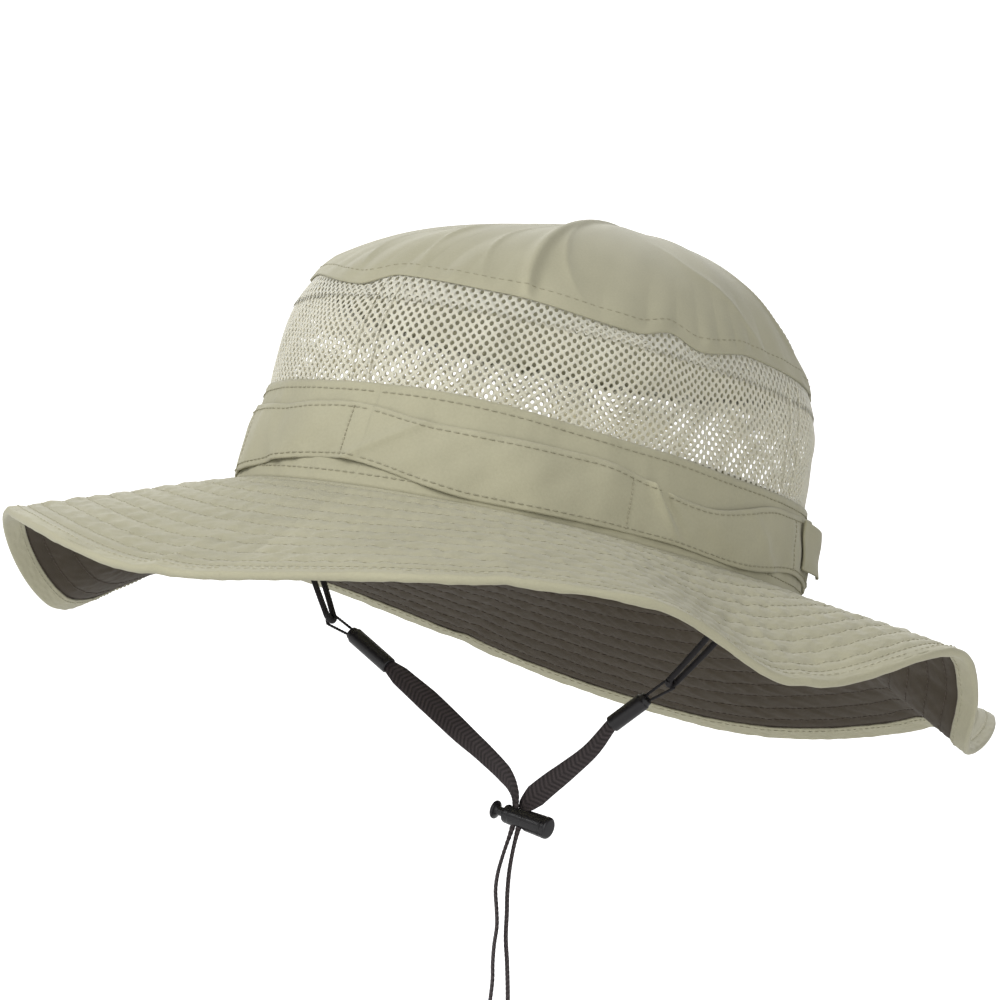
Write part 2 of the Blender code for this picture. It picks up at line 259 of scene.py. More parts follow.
def cloth_coordinates(thing, flat):
    """Keeps where each point lies on the flat cloth, in millimetres, for the weave."""
    layer = thing.data.attributes.new("cloth_mm", "FLOAT_VECTOR", "POINT")
    layer.data.foreach_set("vector", np.asarray(flat, np.float32).ravel())


def shell(name, front, back, flat, wrap=False):
    """Closed cloth from its two faces, each a grid of points (rows, columns, 3)."""
    rows, columns = front.shape[:2]
    count = rows * columns
    quads = grid_faces(rows, columns, wrap)
    edge = []
    last = columns if wrap else columns - 1
    for row, turn in ((0, 1), (rows - 1, -1)):
        here = row * columns + np.arange(last)
        nxt = row * columns + (np.arange(last) + 1) % columns
        strip = np.stack([nxt, here, here + count, nxt + count], -1)
        edge.append(strip if turn > 0 else strip[:, ::-1])
    if not wrap:
        for column, turn in ((0, -1), (columns - 1, 1)):
            here = np.arange(rows - 1) * columns + column
            nxt = here + columns
            strip = np.stack([nxt, here, here + count, nxt + count], -1)
            edge.append(strip if turn > 0 else strip[:, ::-1])
    faces = np.concatenate([quads, quads[:, ::-1] + count] + edge)
    verts = np.concatenate([front.reshape(-1, 3), back.reshape(-1, 3)])
    thing = mesh_object(name, verts, faces)
    cloth_coordinates(thing, np.concatenate([flat.reshape(-1, 3)] * 2))
    return thing


def along_line(points):
    return np.concatenate([[0], np.cumsum(np.linalg.norm(np.diff(points, axis=0), axis=1))])


def resample(points, places):
    run = along_line(points)
    return np.stack([np.interp(places, run, points[:, k]) for k in range(3)], -1)


def unit(vectors):
    return vectors / np.maximum(np.linalg.norm(vectors, axis=-1, keepdims=True), 1e-9)


def stitch_row(points, normals, pitch=2.9, length=2.2, width=0.42, lift=0.12):
    """Points and faces of a row of short thread stitches that dip in at both ends."""
    run = along_line(points)
    starts = np.arange(0.3, run[-1] - length, pitch)
    shares = np.array([0.0, 0.18, 0.5, 0.82, 1.0])
    places = starts[:, None] + shares * length
    flat = places.ravel()
    middle = resample(points, flat).reshape(*places.shape, 3)
    normal = unit(np.stack([np.interp(flat, run, normals[:, k]) for k in range(3)], -1)).reshape(middle.shape)
    tangent = unit(resample(points, flat + 0.2) - resample(points, flat - 0.2)).reshape(middle.shape)
    side = unit(np.cross(tangent, normal))
    swell = np.array([0.45, 0.95, 1.0, 0.95, 0.45])
    rise = np.array([-0.32, 0.1, 0.2, 0.1, -0.32]) * width + lift
    middle = middle + normal * rise[None, :, None]
    sides = 6
    turn = TAU * np.arange(sides) / sides
    ring = side[:, :, None, :] * np.cos(turn)[None, None, :, None]
    ring = ring + normal[:, :, None, :] * np.sin(turn)[None, None, :, None]
    verts = middle[:, :, None, :] + ring * (width / 2) * swell[None, :, None, None]
    one = grid_faces(len(shares), sides, True)
    step = len(shares) * sides
    faces = one[None] + (np.arange(len(starts)) * step)[:, None, None]
    return verts.reshape(-1, 3), faces.reshape(-1, 4)


def stitches(name, rows, **how):
    """One object with several rows of stitches."""
    verts, faces, count = [], [], 0
    for points, normals in rows:
        spots, quads = stitch_row(points, normals, **how)
        verts.append(spots)
        faces.append(quads + count)
        count += len(spots)
    return mesh_object(name, np.concatenate(verts), np.concatenate(faces))


def crown_line(degrees, height, out):
    """Line on the crown with its outward normals, for a row of stitches."""
    angle = np.radians(degrees)
    points = crown(angle, height, out)
    return points, outward(angle)


# ---------------------------------------------------------------- materials

def nodes_of(name):
    made = bpy.data.materials.new(name)
    made.use_nodes = True
    tree = made.node_tree
    return made, tree, tree.nodes["Principled BSDF"]


def feed(tree, node, inputs):
    """Sets inputs of a node by name or number: a socket is linked, anything else is a value."""
    for key, value in inputs.items():
        if isinstance(value, bpy.types.NodeSocket):
            tree.links.new(value, node.inputs[key])
        else:
            node.inputs[key].default_value = value


def add(tree, kind, inputs=None, **settings):
    node = tree.nodes.new(kind)
    for key, value in settings.items():
        setattr(node, key, value)
    feed(tree, node, inputs or {})
    return node


def maths(tree, operation, *values):
    return add(tree, "ShaderNodeMath", dict(enumerate(values)), operation=operation).outputs[0]


def noise(tree, place, scale, detail):
    inputs = {"Vector": place, "Scale": scale, "Detail": detail}
    return add(tree, "ShaderNodeTexNoise", inputs).outputs["Fac"]


def mixed(tree, factor, colour, dark, light):
    """Colour between a darker and a lighter shade of itself."""
    inputs = {"Factor": factor, "A": (*scaled(colour, dark), 1), "B": (*scaled(colour, light), 1)}
    return add(tree, "ShaderNodeMix", inputs, data_type="RGBA").outputs["Result"]


def bumped(tree, height, strength, depth):
    inputs = {"Strength": strength, "Distance": depth * MM, "Height": height}
    return add(tree, "ShaderNodeBump", inputs).outputs[0]


def scaled(colour, by):
    return tuple(channel * by for channel in colour)


def cloth_material(name, colour, thread=0.42, relief=0.05, sheen=0.25, glow=0.0):
    """Fine woven cloth: threads both ways, uneven yarn, soft wear."""
    made, tree, shader = nodes_of(name)
    place = add(tree, "ShaderNodeAttribute", attribute_name="cloth_mm").outputs["Vector"]
    waves = []
    for direction in ("X", "Y"):
        inputs = {"Scale": 0.314 / thread, "Distortion": 0.35, "Detail Scale": 2.0, "Vector": place}
        wave = add(tree, "ShaderNodeTexWave", inputs, bands_direction=direction, wave_profile="SIN")
        waves.append(wave.outputs["Fac"])
    weave = maths(tree, "MULTIPLY", *waves)
    yarn = noise(tree, place, 1.1, 4.0)
    patch = noise(tree, place, 0.035, 3.0)
    wear = maths(tree, "MULTIPLY_ADD", yarn, 0.55, patch)
    spread = add(tree, "ShaderNodeMapRange", {"From Min": 0.55, "From Max": 1.0, "Value": wear})
    feed(tree, shader, {
        "Base Color": mixed(tree, spread.outputs[0], colour, 0.93, 1.06),
        "Normal": bumped(tree, maths(tree, "ADD", weave, yarn), 0.6, relief),
        "Roughness": 0.82,
        "Sheen Weight": sheen,
        "Sheen Roughness": 0.5,
        "Specular IOR Level": 0.25,
        "Subsurface Weight": glow,
        "Subsurface Radius": (1.0, 0.95, 0.85),
        "Subsurface Scale": 1.2 * MM,
    })
    return made


def solid_noise_material(name, colour, roughness, scale, relief, specular=0.5, spread=0.08, metallic=0.0):
    """Thread, cord or moulded plastic: slight mottling and fine relief in the object's own space."""
    made, tree, shader = nodes_of(name)
    place = add(tree, "ShaderNodeTexCoord").outputs["Object"]
    mottle = noise(tree, place, scale, 4.0)
    feed(tree, shader, {
        "Base Color": mixed(tree, mottle, colour, 1 - spread, 1 + spread),
        "Normal": bumped(tree, mottle, 0.5, relief),
        "Roughness": roughness,
        "Specular IOR Level": specular,
        "Metallic": metallic,
    })
    return made


def braid_material(name, colour, pitch, slope):
    """Flat braid of one colour: slanted strands painted lighter and darker as painted highlight and shade,
    turning back at the middle of the tape.
    """
    made, tree, shader = nodes_of(name)
    place = add(tree, "ShaderNodeAttribute", attribute_name="cloth_mm").outputs["Vector"]
    parts = add(tree, "ShaderNodeSeparateXYZ", {0: place}).outputs
    wide = maths(tree, "ABSOLUTE", parts["X"])
    slant = maths(tree, "MULTIPLY_ADD", wide, -slope, parts["Y"])
    # painted highlight and shade: the slant wave lightens and darkens the strands' colour, plus random
    # mottling
    wave = maths(tree, "SINE", maths(tree, "MULTIPLY", slant, TAU / pitch))
    shade = maths(tree, "MULTIPLY_ADD", wave, 0.36, noise(tree, place, 2.2, 3.0))
    feed(tree, shader, {
        "Base Color": mixed(tree, shade, colour, 0.45, 1.55),
        "Roughness": 0.7,
        "Specular IOR Level": 0.3,
    })
    return made


CLOTH_LOOK = cloth_material("khaki_cloth", CLOTH_COLOUR)
MESH_LOOK = cloth_material("khaki_mesh", MESH_COLOUR, relief=0.03, sheen=0.2, glow=0.7)
LINING_LOOK = cloth_material("dark_lining", LINING_COLOUR, sheen=0.1)
THREAD_LOOK = solid_noise_material("khaki_thread", THREAD_COLOUR, 0.7, 1500, 0.05, 0.3)
BRIM_THREAD_LOOK = solid_noise_material("pale_thread", BRIM_THREAD, 0.7, 1500, 0.05, 0.3)
MESH_THREAD_LOOK = solid_noise_material("mesh_thread", scaled(MESH_COLOUR, 1.2), 0.7, 1500, 0.05, 0.3)
BINDING_LOOK = cloth_material("binding_cloth", scaled(CLOTH_COLOUR, 1.04), thread=0.5, relief=0.06)
LINING_THREAD_LOOK = solid_noise_material("dark_thread", LINING_THREAD, 0.7, 1500, 0.05, 0.3)
CORD_LOOK = solid_noise_material("black_cord", CORD_COLOUR, 0.62, 2200, 0.08, 0.35, 0.3)
PLASTIC_LOOK = solid_noise_material("black_plastic", PLASTIC_COLOUR, 0.32, 900, 0.015, 0.5, 0.15)
STEEL_LOOK = solid_noise_material("spring_steel", (0.55, 0.55, 0.57), 0.3, 700, 0.02, 0.5, 0.1, 1.0)
TAPE_LOOK = braid_material("black_braid", STRAP_COLOUR, 1.6, 0.55)


def finish_piece(thing, look, body, slot, *nodes):
    thing.data.materials.append(look)
    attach(thing, body)
    if nodes:
        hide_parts(*nodes)
    return thing


def sew(name, rows, look=THREAD_LOOK, slot="cloth", **how):
    """Rows of stitches on the hat, as one piece."""
    return finish_piece(stitches(name, rows, **how), look, "hat", slot)


# ---------------------------------------------------------------- camera and light

def set_camera():
    around = math.radians(CAMERA_AROUND)
    height = math.radians(CAMERA_HEIGHT)
    roll = math.radians(CAMERA_ROLL)
    level = math.cos(height)
    back = Vector((math.sin(around) * level, -math.cos(around) * level, math.sin(height)))
    right = Vector((math.cos(around), math.sin(around), 0))
    up = back.cross(right)
    x_axis = right * math.cos(roll) + up * math.sin(roll)
    y_axis = up * math.cos(roll) - right * math.sin(roll)
    data = bpy.data.cameras.new("camera")
    data.lens = CAMERA_LENS
    data.shift_x, data.shift_y = CAMERA_SHIFT
    data.clip_end = 20
    camera = bpy.data.objects.new("camera", data)
    bpy.context.scene.collection.objects.link(camera)
    turn = Matrix((x_axis, y_axis, back)).transposed().to_4x4()
    camera.matrix_world = Matrix.Translation(back * CAMERA_DISTANCE * MM) @ turn
    bpy.context.scene.camera = camera
    return x_axis, y_axis, back


def area_light(name, spot, size, power):
    data = bpy.data.lights.new(name, "AREA")
    data.size = size
    data.energy = power
    light = bpy.data.objects.new(name, data)
    bpy.context.scene.collection.objects.link(light)
    light.location = spot
    light.rotation_euler = (-spot).to_track_quat("-Z", "Y").to_euler()
    return light


def backdrop(right, up, back):
    """Bright white sheet behind the hat, far enough off to leave room to walk round it."""
    half = BACKDROP_HALF
    corners = [right * a * half + up * b * half - back * BACKDROP_AWAY
               for a, b in ((-1, -1), (1, -1), (1, 1), (-1, 1))]
    sheet = mesh_object("backdrop", np.array([tuple(c) for c in corners]), np.array([[0, 1, 2, 3]]), False)
    look, _, shader = nodes_of("backdrop_white")
    shader.inputs["Base Color"].default_value = (0.9, 0.9, 0.9, 1)
    shader.inputs["Emission Color"].default_value = (1, 1, 1, 1)
    shader.inputs["Emission Strength"].default_value = 1.0
    sheet.data.materials.append(look)
    return sheet


def set_stage():
    right, up, back = set_camera()
    world = bpy.data.worlds.new("studio")
    bpy.context.scene.world = world
    world.use_nodes = True
    sky = world.node_tree.nodes["Background"]
    sky.inputs["Color"].default_value = (1, 1, 1, 1)
    sky.inputs["Strength"].default_value = 0.4
    lights = [
        area_light("key", up * 1.1 - right * 1.3 + back * 1.0, 0.8, 22),
        area_light("front", back * 1.6 + right * 0.9 + up * 0.2, 1.4, 11),
        area_light("low", back * 1.3 - up * 1.1, 0.8, 8),
        area_light("rear", up * 0.9 - back * 1.5, 1.2, 21),
    ]
    lights.append(backdrop(right, up, back))
    floor = mesh_object("floor", np.array([(-3000, -3000, -420), (3000, -3000, -420), (3000, 3000, -420),
                                           (-3000, 3000, -420)], float), np.array([[0, 1, 2, 3]]), False)
    look = solid_noise_material("pale_floor", (0.8, 0.8, 0.79), 0.7, 3, 0.1, 0.2, 0.02)
    floor.data.materials.append(look)
    bpy.context.scene.view_settings.view_transform = "Standard"


# ---------------------------------------------------------------- chin strap

def flat(*pairs):
    return np.array([(x, 0.0, z) for x, z in pairs])


def smooth_line(points, spacing=0.4):
    """Smooth line through given points, resampled evenly."""
    ends = np.concatenate([points[:1] * 2 - points[1:2], points, points[-1:] * 2 - points[-2:-1]])
    line = []
    for k in range(1, len(ends) - 2):
        before, here, after, later = ends[k - 1:k + 3]
        for t in np.linspace(0, 1, 24, endpoint=False):
            bend = 2 * before - 5 * here + 4 * after - later
            twist = 3 * (here - after) + later - before
            line.append(here + 0.5 * t * (after - before + t * (bend + t * twist)))
    line = np.array(line + [points[-1]])
    count = max(3, int(along_line(line)[-1] / spacing))
    return resample(line, np.linspace(0, along_line(line)[-1], count))


def sweep(name, line, across, half_width, half_thick, relief=None, sides=28, power=2.6):
    """Strip with rounded edges along a line; `across` is its width direction at each point."""
    tangent = unit(np.gradient(line, axis=0))
    across = unit(across - tangent * np.sum(across * tangent, axis=1, keepdims=True))
    face = np.cross(tangent, across)
    turn = TAU * np.arange(sides) / sides
    wide = np.sign(np.cos(turn)) * np.abs(np.cos(turn)) ** (2 / power)
    deep = np.sign(np.sin(turn)) * np.abs(np.sin(turn)) ** (2 / power)
    half_width = np.broadcast_to(half_width, len(line))[:, None]
    half_thick = np.broadcast_to(half_thick, len(line))[:, None]
    run = along_line(line)[:, None]
    swell = 0 if relief is None else relief(run, wide[None] * half_width)
    verts = line[:, None] + across[:, None] * (half_width * wide)[..., None]
    verts = verts + face[:, None] * ((half_thick + swell) * deep)[..., None]
    faces = grid_faces(len(line), sides, True)
    caps = [line[:1] - tangent[:1] * 0.1, line[-1:] + tangent[-1:] * 0.1]
    count = len(line) * sides
    tips = []
    for k in range(sides):
        nxt = (k + 1) % sides
        tips.append((nxt, k, count))
        tips.append((count - sides + k, count - sides + nxt, count + 1))
    thing = mesh_object(name, np.concatenate([verts.reshape(-1, 3)] + caps), faces)
    woven = np.stack([wide[None] * half_width, run + 0 * wide[None], 0 * run * wide[None]], -1).reshape(-1, 3)
    cloth_coordinates(thing, np.concatenate([woven, woven[:1], woven[-1:]]))
    bm = edit_mesh(thing)
    for corners in tips:
        bm.faces.new([bm.verts[k] for k in corners]).smooth = True
    close_mesh(bm, thing)
    return thing


def braid(run, wide):
    """Herringbone of a flat braid: slanted strands that turn back at the middle."""
    slant = run * TAU / 3.0 - np.abs(wide) * TAU / 5.5
    return 0.2 * np.abs(np.sin(slant)) ** 0.7 - 0.14 * np.exp(-(wide / 0.25) ** 2) - 0.1


def cord_twist(run, wide):
    return 0.05 * np.sin(run * TAU / 1.1 + wide * 2.2)


def tape_line():
    """Route of the tape from the right sleeve down its loop and up to the left one."""
    route = flat(
        (-40.4, -43.4), (-38.4, -44.5), (-31.6, -48.2), (-21.0, -53.8), (-8.0, -61.2), (2.6, -67.0),
        (11.6, -72.6), (15.6, -77.0), (17.0, -81.0), (17.5, -84.9), (17.4, -88.8), (16.2, -96.6),
        (15.6, -103.0), (16.0, -108.5), (17.7, -114.3), (19.0, -119.5), (19.4, -125.6),
        (20.2, -131.2), (21.3, -136.5), (22.0, -144.0), (23.4, -162.0), (25.4, -184.0),
        (27.0, -203.0), (29.0, -212.0), (33.0, -216.0), (37.4, -212.5), (38.2, -203.0),
        (35.4, -184.0), (31.8, -162.0), (28.6, -144.0), (25.4, -131.0), (23.0, -122.7),
        (21.6, -115.0), (20.4, -109.0), (19.5, -102.0), (19.3, -95.0), (19.6, -88.8), (20.1, -84.8),
        (20.5, -81.4), (22.2, -78.6), (27.0, -73.4), (33.4, -67.1), (39.8, -60.1), (45.0, -51.4),
        (46.6, -49.9),
    )
    return smooth_line(route, 0.3)


def tape_shape(table, share):
    """Full width and turn of the tape at a share of the way to the lock."""
    places = sorted(table)
    width = np.interp(share, places, [table[place][0] for place in places])
    return width, np.radians(np.interp(share, places, [table[place][1] for place in places]))


def build_tape(view):
    line = tape_line()
    run = along_line(line)
    lock = np.array([LOCK_AT[0], 0, LOCK_AT[1]])
    away = np.linalg.norm(line - lock, axis=1)
    first = run < run[-1] / 2
    reach_right = run[first][np.argmin(away[first])]
    reach_left = run[-1] - run[~first][np.argmin(away[~first])]
    right_width, right_turn = tape_shape(RIGHT_RUN, run / reach_right)
    left_width, left_turn = tape_shape(LEFT_RUN, (run[-1] - run) / reach_left)
    width = np.where(first, right_width, left_width)
    twist = np.where(first, right_turn, left_turn)
    below = np.clip((LOCK_AT[1] - 4 - line[:, 2]) / 14, 0, 1)
    width = width + (TAPE_WIDTH - width) * below
    tangent = unit(np.gradient(line, axis=0))
    broad = unit(np.cross(tangent, np.broadcast_to(view, line.shape)))
    broad = broad * np.sign(np.sum(broad * np.array([1, 0, 0.4]), axis=1, keepdims=True))
    edge_on = np.broadcast_to(view, line.shape)
    across = broad * np.cos(twist)[:, None] + edge_on * np.sin(twist)[:, None]
    near_lock = np.exp(-((line[:, 2] - LOCK_AT[1]) / 5.5) ** 2)
    half_thick = TAPE_THICK / 2 * (1 + 0.9 * near_lock)
    tape = sweep("chin_tape_braid", line, across, width / 2, half_thick, braid)
    finish_piece(tape, TAPE_LOOK, "chin_strap", "cord", "chin_tape")
    return tape, line


def anchor_line(route, turn_at):
    """Sewn cord: one leg down from the seam, a small turn, and the other leg back up."""
    radius = 2.4
    aim = unit(turn_at - route[-1])
    swing = np.linspace(0, math.pi, 9)[:, None]
    turn = turn_at - aim * radius + ALONG_Y * radius * np.cos(swing) + aim * radius * np.sin(swing)
    apart = ALONG_Y * (4.0 - 1.2 * np.arange(len(route)) / len(route))[:, None]
    return smooth_line(np.concatenate([route + apart, turn, (route - apart)[::-1]]), 0.25)


def link_line(turn_at, sleeve_end):
    """Open loop hooked round the sewn cord, with both its ends in the sleeve."""
    radius = (CORD_D + LINK_D) / 2 + GAP
    aim = unit(sleeve_end - turn_at)
    across = np.array([-aim[2], 0, aim[0]])
    swing = np.linspace(0, math.pi, 9)[:, None]
    turn = turn_at + across * radius * np.cos(swing) - aim * radius * np.sin(swing)
    first = [sleeve_end + across * 0.8 + aim * 0.9, sleeve_end + across * 1.1 - aim * 1.0]
    last = [sleeve_end - across * 1.1 - aim * 1.0, sleeve_end - across * 0.8 + aim * 0.9]
    return smooth_line(np.concatenate([first, turn, last]), 0.2)


def round_cord(name, line, diameter, node):
    """Thin round cord with the slant of its twisted yarn."""
    across = np.broadcast_to(np.array([0.12, 1.0, 0.1]), line.shape)
    if name.startswith("anchor"):
        across = np.cross(unit(np.gradient(line, axis=0)), np.array([0.6, 0.0, 0.8]))
    half = diameter / 2 - 0.02
    if name.startswith("anchor"):
        run = along_line(line)
        half = half * (1 + 0.3 * np.exp(-((run - run[-1] / 2) / 2.4) ** 2))
    cord = sweep(name, line, across, half, half, cord_twist, sides=14, power=2.0)
    return finish_piece(cord, CORD_LOOK, "chin_strap", "cord", node)


def lathe(name, start, axis, outline, sides=48):
    """Round piece from (distance along, radius) pairs, closed on the axis at both ends."""
    side = unit(np.cross(axis, ALONG_Y))
    turn = TAU * np.arange(sides) / sides
    ring = ALONG_Y * np.cos(turn)[:, None] + side * np.sin(turn)[:, None]
    outline = np.array([(outline[0][0], 0.02)] + list(outline) + [(outline[-1][0], 0.02)], float)
    verts = start + axis * outline[:, :1, None] + ring[None] * outline[:, 1:, None]
    thing = mesh_object(name, verts.reshape(-1, 3), grid_faces(len(outline), sides, True))
    bm = edit_mesh(thing)
    count = len(bm.verts)
    bm.faces.new([bm.verts[k] for k in range(sides)][::-1])
    bm.faces.new([bm.verts[k] for k in range(count - sides, count)])
    bmesh.ops.recalc_face_normals(bm, faces=bm.faces)
    close_mesh(bm, thing)
    shade_round(thing)
    return thing


def rounded(steps, radius=0.35):
    """Outline of (along, radius) corners with each corner turned over a small radius."""
    line = []
    for k, (along, wide) in enumerate(steps):
        if k in (0, len(steps) - 1):
            line.append((along, wide))
            continue
        before, after = np.array(steps[k - 1], float), np.array(steps[k + 1], float)
        here = np.array((along, wide), float)
        near = here + unit(before - here) * min(radius, np.linalg.norm(before - here) / 2.2)
        far = here + unit(after - here) * min(radius, np.linalg.norm(after - here) / 2.2)
        for t in (0.0, 0.33, 0.67, 1.0):
            line.append(tuple((1 - t) ** 2 * near + 2 * t * (1 - t) * here + t * t * far))
    return line


def build_sleeve(side, start, end):
    """Moulded sleeve: a plain round tube with a small collar and a hollow where the loop goes in."""
    aim = unit(end - start)
    long = float(np.linalg.norm(end - start))
    steps = [(1.4, 0.4), (1.4, 1.35), (0.0, 1.5), (0.0, 2.0), (0.5, 2.2), (1.3, 2.25), (1.7, 2.7),
             (long - 0.3, 2.7), (long, 2.3), (long, 1.9), (long - 0.8, 1.8), (long - 0.8, 0.4)]
    sleeve = lathe("sleeve_moulded_" + side, start, aim, rounded(steps))
    return finish_piece(sleeve, PLASTIC_LOOK, "chin_strap", "plastic", "sleeve_" + side)


def cut_out(target, tool):
    step = target.modifiers.new("cut", "BOOLEAN")
    step.operation = "DIFFERENCE"
    step.solver = "EXACT"
    step.object = tool
    bpy.context.view_layer.update()
    graph = bpy.context.evaluated_depsgraph_get()
    shape = bpy.data.meshes.new_from_object(target.evaluated_get(graph))
    target.modifiers.clear()
    target.data = shape
    shade_round(target)
    bpy.data.objects.remove(tool, do_unlink=True)


def slot_tool(middle, low, high, width):
    lean = math.radians(TAPE_LEAN)
    along = np.array([math.sin(lean), 0, -math.cos(lean)])
    across = np.array([math.cos(lean), 0, math.sin(lean)])
    verts = []
    for a in (low, high):
        for b in (-width / 2, width / 2):
            for c in (-8, 8):
                verts.append(middle + across * a + ALONG_Y * b + along * c)
    faces = np.array([(0, 1, 3, 2), (4, 6, 7, 5), (0, 4, 5, 1), (2, 3, 7, 6), (0, 2, 6, 4), (1, 5, 7, 3)])
    tool = mesh_object("slot_tool", np.array(verts), faces, False)
    bm = edit_mesh(tool)
    bmesh.ops.recalc_face_normals(bm, faces=bm.faces)
    close_mesh(bm, tool)
    return tool


def build_lock():
    tilt = math.radians(LOCK_TILT)
    barrel = np.array([math.cos(tilt), 0, -math.sin(tilt)])
    middle = np.array([LOCK_AT[0], 0, LOCK_AT[1]])
    mouth = middle - barrel * BARREL_BEFORE
    steps = [(0.0, 0.8), (0.0, 2.8), (0.7, 3.05), (2.4, 3.05), (2.7, 3.2), (7.6, 3.2), (7.9, 3.3),
             (14.2, 3.5), (14.4, 3.35), (14.8, 3.35), (15.0, 3.6), (16.3, 3.5), (16.8, 2.9), (16.8, 0.8)]
    body = lathe("cord_lock_shell", mouth, barrel, rounded(steps, 0.3))
    bore = lathe("bore_tool", mouth - barrel, barrel, [(0, 2.55), (16.4, 2.55)])
    cut_out(body, bore)
    half = RUN_APART / 2 + 1.2 + 0.35
    cut_out(body, slot_tool(middle, -half, half, SLOT_WIDTH))
    finish_piece(body, PLASTIC_LOOK, "cord_lock", "plastic", "cord_lock_barrel")
    steps = [(0.35, 0.8), (0.15, 1.6), (0.0, 2.6), (0.35, 3.0), (0.9, 3.0), (1.3, 2.2), (1.9, 1.45),
             (3.9, 1.45), (4.5, 2.35), (14.9, 2.35), (14.9, 0.8)]
    plunger = lathe("cord_lock_button", mouth - barrel * 4.4, barrel, rounded(steps, 0.3))
    cut_out(plunger, slot_tool(middle, -half - PRESS, half, SLOT_WIDTH))
    finish_piece(plunger, PLASTIC_LOOK, "plunger", "plastic", "cord_lock_plunger")
    side = unit(np.cross(barrel, ALONG_Y))
    swing = np.linspace(0, SPRING_TURNS * TAU, 90)[:, None]
    coil = mouth + barrel * (11.1 + 1.8 * swing / swing[-1])
    coil = coil + (ALONG_Y * np.cos(swing) + side * np.sin(swing)) * SPRING_RADIUS
    across = np.broadcast_to(barrel, coil.shape)
    half_wire = SPRING_WIRE / 2
    spring = sweep("lock_spring_wire", coil, across, half_wire, half_wire, sides=8, power=2.0)
    finish_piece(spring, STEEL_LOOK, "plunger", "spring_wire", "cord_lock_spring")


def build_strap(view):
    right = (flat((-82.2, 0.2), (-77.4, -11.0), (-70.0, -22.3)), flat((-63.2, -32.7))[0], flat(*RIGHT_SLEEVE))
    left = (flat((82.2, 0.2), (79.4, -11.0), (72.4, -22.2)), flat((62.4, -36.0))[0], flat(*LEFT_SLEEVE))
    for side, (route, turn_at, sleeve) in (("right", right), ("left", left)):
        line = anchor_line(route, turn_at)
        cord = round_cord("anchor_cord_twisted_" + side, line, CORD_D, "anchor_cord_" + side)
        hook = link_line(turn_at, sleeve[0])
        link = round_cord("link_loop_thin_" + side, hook, LINK_D, "link_loop_" + side)
        moulded = build_sleeve(side, sleeve[0], sleeve[1])
    tape, line = build_tape(view)
    build_lock()


# ---------------------------------------------------------------- crown

def tip_relief(angle, climb):
    """Dents, the soft ridge from the top to the front, and puckers near the edge seam."""
    degrees = (np.degrees(angle) + 180) % 360 - 180
    away = (degrees - (26 - 12 * climb)) * (1 - 0.8 * climb)
    ridge = 2.1 * np.exp(-(away / 1.4) ** 2) * (1 - climb ** 5)
    hollow = -0.7 * np.exp(-((away + 7) / 6) ** 2) * (1 - climb ** 4)
    dent = -3.0 * np.exp(-((degrees + 22) / 24) ** 2 - ((climb - 0.62) / 0.25) ** 2)
    soft = 1.1 * ripple(angle, climb * 60, 62, 3) * (1 - climb ** 3)
    pucker = 1.0 * ripple(angle, climb * 18, 19, 5) * np.exp(-climb * 4.5)
    pleats = np.abs(np.sin(angle * 23 + 2.2 * np.sin(angle * 5)))
    fan = 1.2 * pleats * np.exp(-climb * 8) * np.clip(climb * 20, 0, 1)
    slant = np.abs(np.sin(angle * 7 + 4 * climb + 1.5 * np.sin(angle * 3)))
    crease = 1.1 * (1 - slant) ** 5 * np.exp(-((climb - 0.32) / 0.22) ** 2)
    total = ridge + hollow + dent + soft + pucker + fan + crease
    floor = np.where(total < 0, 0.0, 0.25)
    return total * (floor + (1 - floor) * np.clip(climb * 10, 0, 1))


def build_tip():
    columns, rows = 720, 110
    share = np.linspace(0, 1, columns, endpoint=False)
    angle = even_angle(share)[None, :]
    climb = np.linspace(0, 1, rows)[:, None] ** 0.95
    edge = ring_value(TIP_EDGE, np.degrees(angle)) - 0.6
    height = edge + (CROWN_TOP - edge) * np.sin(climb * math.pi / 2)
    height = np.minimum(height, CROWN_TOP - 0.004)
    relief = tip_relief(angle, climb)
    relief = relief * np.clip((1 - climb) * 9, 0, 1)
    over = 0.35 + 0.6 * np.exp(-climb * 12)
    front = crown(angle, height, over + relief * np.cos(climb * math.pi / 2))
    front[..., 2] += relief * np.sin(climb * math.pi / 2) * 0.9
    centre = crown(np.array([0.0]), np.array([CROWN_TOP]), np.array([0.0]))[0]
    inward = unit(centre * np.array([1, 1, 0.55]) - front)
    back = front + inward * CLOTH
    back[-1] = front[-1] - np.array([0, 0, CLOTH])
    flat_x = np.broadcast_to(share * HEAD_ROUND, height.shape)
    flat_y = np.broadcast_to(climb * 95, height.shape)
    tip = shell("tip_cloth", front, back, np.stack([flat_x, flat_y, 0 * flat_x], -1), wrap=True)
    fill_pole(tip, rows, columns)
    finish_piece(tip, CLOTH_LOOK, "hat", "cloth", "crown_tip")
    return front


def fill_pole(thing, rows, columns):
    """Closes the tiny hole at the top of the dome on both faces."""
    bm = edit_mesh(thing)
    outer = (rows - 1) * columns
    inner = rows * columns + outer
    bm.faces.new([bm.verts[outer + k] for k in range(columns)]).smooth = True
    bm.faces.new([bm.verts[inner + k] for k in range(columns)][::-1]).smooth = True
    close_mesh(bm, thing)


def tip_seam(front, rows=(7,)):
    """Topstitch near the edge of the tip, taken from its own outer face."""
    lines = []
    for row in rows:
        points = np.concatenate([front[row], front[row][:1]])
        normals = unit(points * np.array([1 / HEAD_X ** 2, 1 / HEAD_Y ** 2, 0.00002]))
        lines.append((points, normals))
    sew("tip_topstitch", lines, pitch=2.7, length=1.8, width=0.32, lift=0.05)


